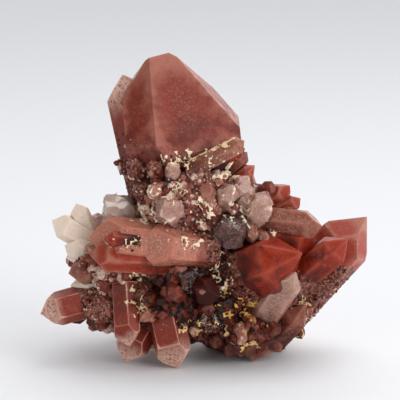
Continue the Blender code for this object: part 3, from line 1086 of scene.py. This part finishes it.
def mark_heart(heart, crystal, side_in, end_in):
    """Writes how near each place of a heart is to its edges, its tip, its foot, and to glow and growth,
    and how much shade is painted on it.
    """
    places = coordinates(heart)
    gaps = plane_gaps(places, cut_planes(crystal, side_in, end_in))
    gaps.sort(axis=1)
    set_attribute(heart, "edge", gaps[:, 1] / (crystal.girth * HEART_TINTS[crystal.heart].rim + 0.2))
    back = lengthwise(crystal, places)
    length = (Vector(crystal.tip) - Vector(crystal.foot)).length
    set_attribute(heart, "haze", np.clip(1.5 - back / crystal.clear, 0, 1))
    ember = np.clip(1.6 - abs(back / crystal.clear - 2.0), 0, 1)
    set_attribute(heart, "ember", np.clip(ember + shade_at(places, EMBERS), 0, 1))
    set_attribute(heart, "along", back)
    cover = DRUSE_COVER.get(crystal.name, 0)
    set_attribute(heart, "rough", np.clip((cover - 1 + back / length) / 0.1 + 0.5, 0, 1) * (cover > 0))
    set_attribute(heart, "foot", back / length)
    # Painted shade from the patches
    set_attribute(heart, "dark", np.clip(shade_at(places, HEART_SHADES), 0, 1))


def heart_of(crystal, sizes):
    """The cloudy inside of one crystal, bare or ragged inside its skin."""
    bare = crystal.heart in BARE_HEARTS
    side_in = 0 if bare else max(0.08, crystal.girth * sizes.heart_inset)
    end_in = 0 if bare else min(0.5, crystal.girth * 0.05 + 0.05)
    heart = crystal_block(crystal, side_in, end_in)
    levels = next(levels for widest, levels in HEART_LEVELS if crystal.girth < widest)
    apply_modifier(heart, "SUBSURF", "grain", subdivision_type="SIMPLE", levels=levels)
    if bare:
        wear = {"width": wear_of(crystal, sizes), "segments": 2}
        apply_modifier(heart, "BEVEL", "wear", limit_method="ANGLE", angle_limit=math.radians(20), **wear)
    mark_heart(heart, crystal, side_in, end_in)
    if not bare:
        texture = bpy.data.textures.new("ragged", "CLOUDS")
        texture.noise_scale = 2.4 * MM
        depth = {"strength": crystal.girth * 0.10 * MM, "mid_level": 0.75}
        apply_modifier(heart, "DISPLACE", "ragged", texture=texture, texture_coords="LOCAL", **depth)
    return heart


def make_hearts(crystals, name, sizes, materials):
    """The cloudy insides of a group of crystals, each in the material of its kind."""
    hearts = []
    for crystal in crystals:
        heart = heart_of(crystal, sizes)
        heart.data.materials.append(materials[crystal.heart])
        hearts.append(heart)
    made = joined(hearts, name)
    pick(made)
    bpy.ops.object.shade_smooth_by_angle(angle=math.radians(25))
    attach(made, BODY)


# The groups that are joined to pieces, and how the names of their crystals begin
GROUPS = {
    "upper": ("top", "bar"),
    "neck": ("neck",),
    "shoulder": ("shoulder",),
    "right": ("right",),
    "base": ("low_right",),
    "left": ("left_long", "left_hook", "left_face", "left_clear"),
    "white": ("white",),
    "lower_left": ("left_brown", "left_pale", "left_low", "hanging"),
    "middle": ("middle",),
    "back": ("back",),
}

# The pieces that the crust lies on
CRUSTED = (
    "quartz_matrix", "druse", "side_druse", "satellites", "bud_crystals", "upper_hearts",
    "neck_crystals", "shoulder_crystals", "left_hearts", "lower_left_hearts", "middle_crystals",
)


class QUARTZ_OT_matrix(bpy.types.Operator):
    """Models the rough matrix that the crystals grow from"""

    bl_idname = "quartz.matrix"
    bl_label = "Matrix"

    def execute(self, context):
        sizes = context.scene.quartz_sizes
        lumps = []
        for lump in LUMPS:
            deselect_all()
            bpy.ops.mesh.primitive_ico_sphere_add(subdivisions=4, radius=1)
            ball = context.active_object
            turn = lump_turn(lump).to_4x4()
            size = Matrix.Diagonal([r * MM for r in lump.radii]).to_4x4()
            ball.data.transform(Matrix.Translation(Vector(lump.centre) * MM) @ turn @ size)
            lumps.append(ball)
        matrix = joined(lumps, "quartz_matrix")
        apply_modifier(matrix, "REMESH", "one_lump", mode="VOXEL", voxel_size=sizes.matrix_grain)
        plates(matrix, sizes.matrix_roughness / MM, MATRIX_PLATES)
        pick(matrix)
        bpy.ops.object.mode_set(mode="EDIT")
        cut_away(*GROUND)
        bpy.ops.object.mode_set(mode="OBJECT")
        # Painted shade: how much the patches darken the matrix, below 0 painted light
        set_attribute(matrix, "dark", shade_at(coordinates(matrix)))
        dress(matrix, matrix_material(context.scene.quartz_colours))
        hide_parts(NODE)
        return {"FINISHED"}


class QUARTZ_OT_crystals(bpy.types.Operator):
    """Models the named crystals: clear skins and the cloudy hearts inside them"""

    bl_idname = "quartz.crystals"
    bl_label = "Crystals"

    def execute(self, context):
        sizes = context.scene.quartz_sizes
        skin = skin_material(context.scene.quartz_colours.skin)
        hearts = {kind: heart_material(kind, tints) for kind, tints in HEART_TINTS.items()}
        for group, beginnings in GROUPS.items():
            crystals = [crystal for crystal in CRYSTALS if crystal.name.startswith(beginnings)]
            clad = [crystal for crystal in crystals if crystal.heart not in BARE_HEARTS]
            if clad:
                make_skins(clad, f"{group}_crystals", sizes, skin)
            make_hearts(crystals, f"{group}_hearts", sizes, hearts)
        return {"FINISHED"}


def druse_templates():
    """Corners and faces of each shape of small crystal, one girth thick, growing along +Z."""
    found = []
    for number, (length, roll, habit) in enumerate(DRUSE_SHAPES):
        shape = Crystal(f"small_{number}", (0, 0, 0), (0, 0, length), 1, roll, 1, habit)
        block = cut_block(shape.name, cut_planes(shape), Vector((0, 0, length / 2)), 4 * (length + 2))
        corners = coordinates(block)
        faces = [tuple(face.vertices) for face in block.data.polygons]
        found.append((corners, faces))
        bpy.data.objects.remove(block)
    return found


def spots_on(obj, count, rng):
    """Points spread evenly over a mesh, in mm, with the normals there."""
    mesh = obj.data
    areas = np.array([face.area for face in mesh.polygons])
    chosen = rng.choice(len(areas), count, p=areas / areas.sum())
    points = np.array([tuple(mesh.polygons[i].center) for i in chosen]) / MM
    normals = np.array([tuple(mesh.polygons[i].normal) for i in chosen])
    return points, normals


def below_ground(point, lean, girth):
    """Whether a small crystal here would reach below the ground."""
    return point[2] < girth * (DRUSE_ROOM - DRUSE_LEAN_ROOM * min(0, lean.z))


def planted(point, lean, girth, tone, sink, rng):
    """The spot of a small crystal whose root is sunk into the surface, with a random spin and shape."""
    spin = rng.uniform(0, 6)
    shape = int(rng.integers(len(DRUSE_SHAPES)))
    return point - np.array(lean) * girth * sink, lean, girth, tone, spin, shape


def grow_small(obj_name, spots, material):
    """Small crystals joined to one piece. A spot is (root, lean, girth, tone, spin, shape)."""
    templates = druse_templates()
    corners, faces, tones = [], [], []
    for point, lean, girth, tone, spin, shape in spots:
        places, sides = templates[shape]
        turn = Vector((0, 0, 1)).rotation_difference(lean) @ Quaternion((0, 0, 1), spin)
        turned = places @ np.array(turn.to_matrix()).T * girth + np.array(point)
        start = sum(len(block) for block in corners)
        corners.append(turned * MM)
        faces.extend(tuple(start + i for i in side) for side in sides)
        tones.append(np.full(len(places), tone))
    mesh = bpy.data.meshes.new(obj_name)
    mesh.from_pydata(np.concatenate(corners).tolist(), [], faces)
    obj = bpy.data.objects.new(obj_name, mesh)
    bpy.context.scene.collection.objects.link(obj)
    set_attribute(obj, "tone", np.concatenate(tones))
    dress(obj, material)
    return obj


class QUARTZ_OT_druse(bpy.types.Operator):
    """Grows the small crystals between the large ones"""

    bl_idname = "quartz.druse"
    bl_label = "Small crystals"

    def execute(self, context):
        rng = np.random.default_rng(MATRIX_DRUSE_SEED)
        matrix = bpy.data.objects["quartz_matrix"]
        points, normals = spots_on(matrix, context.scene.quartz_sizes.druse_count, rng)
        hidden = np.zeros(len(points), bool)
        for crystal in CRYSTALS:
            hidden |= plane_gaps(points, cut_planes(crystal)).min(1) > DRUSE_HIDDEN
        # Painted shade: the patches darken the small crystals' tone, and below 0 pale it as painted light
        dark = shade_at(points)
        spots = []
        for number, (point, normal, unseen, painted_shading) in enumerate(zip(points, normals, hidden, dark)):
            if unseen or point[2] < DRUSE_LOWEST:
                continue
            rank = 0 if number % 9 == 0 else 1 if number % 3 == 0 else 2
            lean = (Vector(normal) * MATRIX_UPRIGHT + Vector(rng.normal(0, DRUSE_STRAY, 3))).normalized()
            girth = float(rng.uniform(*DRUSE_SIZES[rank]))
            tone = float(np.clip(rng.beta(*MATRIX_TONES) - painted_shading, 0, 1))
            if not below_ground(point, lean, girth):
                spots.append(planted(point, lean, girth, tone, MATRIX_SINK, rng))
        grow_small("druse", spots, druse_material(context.scene.quartz_colours))
        return {"FINISHED"}


def side_spots(crystal, cover, rng):
    """Spots for the small crystals on one large crystal, up to a share of its length."""
    block = crystal_block(crystal)
    area = sum(face.area for face in block.data.polygons) / MM**2
    apply_modifier(block, "REMESH", "grain", mode="VOXEL", voxel_size=0.8 * MM)
    points, normals = spots_on(block, int(area * SIDE_DENSITY), rng)
    bpy.data.objects.remove(block)
    axis = np.array(Vector(crystal.tip) - Vector(crystal.foot))
    along = (points - np.array(crystal.foot)) @ axis / (axis @ axis)
    covered = np.clip((cover - along) / SIDE_FADE, 0, 1)
    for place in OVERGROWN:
        covered = np.maximum(covered, inside_patch(points, place))
    hidden = rng.random(len(points)) > covered
    for other in CRYSTALS:
        if other is not crystal:
            hidden |= plane_gaps(points, cut_planes(other)).min(1) > DRUSE_HIDDEN
    for lump in LUMPS:
        local = (points - np.array(lump.centre)) @ np.array(lump_turn(lump))
        hidden |= ((local / lump.radii) ** 2).sum(1) < DRUSE_BURIED
    spots = []
    # Painted shade: the patches darken the small crystals' tone, and below 0 pale it as painted light
    for point, normal, unseen, painted_shading in zip(points, normals, hidden, shade_at(points)):
        if unseen or point[2] < DRUSE_LOWEST:
            continue
        lean = (Vector(normal) * SIDE_UPRIGHT + Vector(rng.normal(0, DRUSE_STRAY, 3))).normalized()
        girth = float(np.clip(rng.lognormal(math.log(SIDE_GIRTH), SIDE_SPREAD), *SIDE_LIMITS))
        if crystal.name in FINE_DRUSE:
            girth *= FINE_SHARE
        tone = float(np.clip(rng.beta(*SIDE_TONES) - painted_shading, 0, 1))
        if not below_ground(point, lean, girth):
            spots.append(planted(point, lean, girth, tone, SIDE_SINK, rng))
    return spots


class QUARTZ_OT_side_druse(bpy.types.Operator):
    """Grows small crystals over the lower sides of the large crystals"""

    bl_idname = "quartz.side_druse"
    bl_label = "Crystals on the sides"

    def execute(self, context):
        rng = np.random.default_rng(SIDE_DRUSE_SEED)
        by_name = {crystal.name: crystal for crystal in CRYSTALS}
        spots = []
        for name, cover in DRUSE_COVER.items():
            spots.extend(side_spots(by_name[name], cover, rng))
        grow_small("side_druse", spots, druse_material(context.scene.quartz_colours))
        return {"FINISHED"}


def satellite_spots(crystal, rng):
    """Spots for the lesser crystals beside one crystal, without those that would end inside another."""
    tip = Vector(crystal.tip)
    axis = (tip - Vector(crystal.foot)).normalized()
    spots = []
    for _ in range(int(rng.integers(*SATELLITES))):
        out = Vector(rng.normal(0, 1, 3))
        out = (out - axis * out.dot(axis)).normalized()
        girth = crystal.girth * float(rng.uniform(*SATELLITE_GIRTH))
        lean = (axis + out * float(rng.uniform(*SATELLITE_LEAN))).normalized()
        end = tip - axis * crystal.girth * float(rng.uniform(*SATELLITE_BACK))
        end += out * crystal.girth * float(rng.uniform(*SATELLITE_OUT))
        shape = int(rng.integers(len(DRUSE_SHAPES)))
        length = DRUSE_SHAPES[shape][0] * girth
        root = end - lean * length
        if min(root.z, end.z) < SATELLITE_LOWEST:
            continue
        if any(plane_gaps(np.array([tuple(end)]), cut_planes(other)).min() > 0 for other in CRYSTALS):
            continue
        tone = HEART_TONES[crystal.heart] + float(rng.normal(0, SATELLITE_TONE_SPREAD))
        spots.append((root, lean, girth, min(1, max(0, tone)), rng.uniform(0, 6), shape))
    return spots


class QUARTZ_OT_satellites(bpy.types.Operator):
    """Grows lesser crystals beside the middling ones, nearly parallel to them"""

    bl_idname = "quartz.satellites"
    bl_label = "Satellites"

    def execute(self, context):
        rng = np.random.default_rng(SATELLITE_SEED)
        spots = []
        for crystal in CRYSTALS:
            if crystal.girth <= SATELLITE_WIDEST and crystal.name not in CLEAN:
                spots.extend(satellite_spots(crystal, rng))
        grow_small("satellites", spots, druse_material(context.scene.quartz_colours))
        return {"FINISHED"}


class QUARTZ_OT_buds(bpy.types.Operator):
    """Models the small crystals that fill the spaces"""

    bl_idname = "quartz.buds"
    bl_label = "Buds"

    def execute(self, context):
        rng = random.Random(BUD_TONE_SEED)
        buds = []
        for bud in bud_crystals():
            block = crystal_block(bud)
            # Painted shade at the bud's tip darkens its tone
            painted_shading = shade_at(np.array([tuple(bud.tip)]))[0]
            tone = max(0, rng.betavariate(*MATRIX_TONES) - painted_shading)
            apply_modifier(block, "BEVEL", "wear", width=0.12 * MM, segments=1)
            set_attribute(block, "tone", np.full(len(block.data.vertices), tone))
            buds.append(block)
        dress(joined(buds, "bud_crystals"), druse_material(context.scene.quartz_colours))
        return {"FINISHED"}


def lace_at(places):
    """Above 0 where the crust is: its patches, broken up by noise and by round holes."""
    strength = np.max([patch.amount * inside_patch(places, patch) for patch in CRUSTS], axis=0)
    lace = np.zeros(len(places))
    for i in np.flatnonzero(strength > CRUST_LEAST):
        spot = Vector(places[i])
        cover = noise.noise(spot * CRUST_COARSE + CRUST_SHIFT)
        cover += CRUST_FINE_SHARE * noise.noise(spot * CRUST_FINE)
        hole = noise.voronoi(spot / CRUST_HOLES)[0][0]
        growth = strength[i] * CRUST_PATCH_SHARE + cover - CRUST_THINNING
        lace[i] = min(growth, CRUST_HOLE_RISE * (hole - CRUST_HOLE_REACH))
    return lace


def gold_at(places):
    """The crust's share of gold at each place, from the last patch that holds it."""
    gold = np.zeros(len(places))
    for patch in CRUSTS:
        gold = np.where(patch_distance(places, patch) < CRUST_GOLD_REACH, patch.gold, gold)
    return gold


class QUARTZ_OT_crust(bpy.types.Operator):
    """Lays the lacy cream crust over the small crystals"""

    bl_idname = "quartz.crust"
    bl_label = "Cream crust"

    def execute(self, context):
        sizes = context.scene.quartz_sizes
        parts = []
        for name in CRUSTED:
            part = bpy.data.objects[name]
            copy = part.copy()
            copy.data = part.data.copy()
            context.scene.collection.objects.link(copy)
            parts.append(copy)
        crust = joined(parts, "cream_crust")
        apply_modifier(crust, "REMESH", "grain", mode="VOXEL", voxel_size=sizes.crust_grain)
        places = coordinates(crust)
        bare = lace_at(places) <= 0
        set_attribute(crust, "gold", gold_at(places))
        pick(crust)
        bpy.ops.object.mode_set(mode="EDIT")
        bpy.ops.mesh.select_all(action="DESELECT")
        bpy.ops.object.mode_set(mode="OBJECT")
        crust.data.vertices.foreach_set("select", bare)
        bpy.ops.object.mode_set(mode="EDIT")
        bpy.ops.mesh.select_mode(type="VERT")
        bpy.ops.mesh.delete(type="VERT")
        bpy.ops.object.mode_set(mode="OBJECT")
        texture = bpy.data.textures.new("crust", "CLOUDS")
        texture.noise_scale = 1.5 * MM
        ruffle = {"strength": 0.4 * MM, "mid_level": 0.2}
        apply_modifier(crust, "DISPLACE", "ruffle", texture=texture, texture_coords="LOCAL", **ruffle)
        apply_modifier(crust, "SMOOTH", "soften", factor=0.5, iterations=4)
        apply_modifier(crust, "SOLIDIFY", "depth", thickness=sizes.crust_depth, offset=0.0)
        smooth(crust)
        dress(crust, crust_material(context.scene.quartz_colours))
        return {"FINISHED"}


# What the camera and the lamps look at
TARGET = Vector((-0.010, -0.008, 0.0535))

# Name, place in metres, size in metres and power in watts of each lamp
LIGHTS = [
    ("right_box", (0.80, -0.75, 0.45), 0.9, 7.0),
    ("left_box", (-0.80, -0.70, 0.30), 0.8, 2.5),
    ("top_box", (0.25, 0.10, 0.95), 0.6, 3.0),
]

# The wall behind the cluster is bright, and the room behind the camera is dim. Between them the
# daylight changes with how far a direction points towards the wall.
WALL_WAY = (0.55, 0.83, 0.0)
WALL_REACH = (-0.5, 0.7)
WALL_SHARES = (0.2, 2)
SKY = (0.97, 0.975, 1, 1)

# The floor lies this far below the base, so that they don't flicker, in metres
FLOOR_DROP = 0.0003
FLOOR_SIZE = 20


def aim(obj, way):
    """Turns a lamp or a camera to look along a direction."""
    obj.rotation_mode = "QUATERNION"
    obj.rotation_quaternion = way.to_track_quat("-Z", "Y")


def add_floor(colour):
    deselect_all()
    bpy.ops.mesh.primitive_plane_add(size=FLOOR_SIZE, location=(0, 0, -FLOOR_DROP))
    floor = bpy.context.active_object
    floor.name = "floor"
    nodes = Nodes("floor")
    nodes.plain(Base_Color=(*colour, 1), Roughness=0.7)
    floor.data.materials.append(nodes.material)


def add_lamps(scene):
    for name, place, size, power in LIGHTS:
        lamp = bpy.data.lights.new(name, "AREA")
        lamp.size = size
        lamp.energy = power
        made = bpy.data.objects.new(name, lamp)
        made.location = place
        aim(made, TARGET - Vector(place))
        scene.collection.objects.link(made)


def add_daylight(scene, strength):
    world = scene.world or bpy.data.worlds.new("daylight")
    scene.world = world
    world.use_nodes = True
    tree = world.node_tree
    background = tree.nodes["Background"]
    background.inputs["Color"].default_value = SKY
    toward = tree.nodes.new("ShaderNodeTexCoord")
    facing = tree.nodes.new("ShaderNodeVectorMath")
    facing.operation = "DOT_PRODUCT"
    facing.inputs[1].default_value = WALL_WAY
    shade = tree.nodes.new("ShaderNodeMapRange")
    shade.inputs["From Min"].default_value = WALL_REACH[0]
    shade.inputs["From Max"].default_value = WALL_REACH[1]
    shade.inputs["To Min"].default_value = strength * WALL_SHARES[0]
    shade.inputs["To Max"].default_value = strength * WALL_SHARES[1]
    tree.links.new(toward.outputs["Generated"], facing.inputs[0])
    tree.links.new(facing.outputs["Value"], shade.inputs["Value"])
    tree.links.new(shade.outputs["Result"], background.inputs["Strength"])


def add_camera(scene, stage):
    lens = bpy.data.cameras.new("camera")
    lens.sensor_width = 36
    lens.lens = lens.sensor_width * stage.distance / stage.width
    camera = bpy.data.objects.new("camera", lens)
    back = Vector((0, -math.cos(stage.elevation), math.sin(stage.elevation)))
    camera.location = TARGET + back * stage.distance
    aim(camera, -back)
    scene.collection.objects.link(camera)
    scene.camera = camera


class QUARTZ_OT_stage(bpy.types.Operator):
    """Sets up the floor, the lights and the camera"""

    bl_idname = "quartz.stage"
    bl_label = "Stage"

    def execute(self, context):
        stage = context.scene.quartz_stage
        add_floor(stage.floor)
        add_lamps(context.scene)
        add_daylight(context.scene, stage.daylight)
        context.scene.view_settings.view_transform = "Standard"
        add_camera(context.scene, stage)
        return {"FINISHED"}


class QUARTZ_PT_panel(bpy.types.Panel):
    """Lists the pieces of the cluster"""

    bl_idname = "QUARTZ_PT_panel"
    bl_label = "Quartz cluster"
    bl_space_type = "VIEW_3D"
    bl_region_type = "UI"
    bl_category = "Quartz"

    def draw(self, context):
        for operator in OPERATORS:
            self.layout.operator(operator.bl_idname)
        for group in ("quartz_sizes", "quartz_colours", "quartz_stage"):
            values = getattr(context.scene, group)
            box = self.layout.box()
            for key in values.__annotations__:
                box.prop(values, key)


OPERATORS = (
    QUARTZ_OT_matrix,
    QUARTZ_OT_crystals,
    QUARTZ_OT_buds,
    QUARTZ_OT_druse,
    QUARTZ_OT_side_druse,
    QUARTZ_OT_satellites,
    QUARTZ_OT_crust,
    QUARTZ_OT_stage,
)
CLASSES = (QuartzSizes, QuartzColours, QuartzStage, *OPERATORS, QUARTZ_PT_panel)


def register():
    for cls in CLASSES:
        bpy.utils.register_class(cls)
    bpy.types.Scene.quartz_sizes = PointerProperty(type=QuartzSizes)
    bpy.types.Scene.quartz_colours = PointerProperty(type=QuartzColours)
    bpy.types.Scene.quartz_stage = PointerProperty(type=QuartzStage)


def unregister():
    del bpy.types.Scene.quartz_stage
    del bpy.types.Scene.quartz_colours
    del bpy.types.Scene.quartz_sizes
    for cls in reversed(CLASSES):
        bpy.utils.unregister_class(cls)


def main():
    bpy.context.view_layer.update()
    register()
    bpy.ops.quartz.matrix()
    bpy.ops.quartz.crystals()
    bpy.ops.quartz.buds()
    bpy.ops.quartz.druse()
    bpy.ops.quartz.side_druse()
    bpy.ops.quartz.satellites()
    bpy.ops.quartz.crust()
    bpy.ops.quartz.stage()


if __name__ == "__main__":
    main()
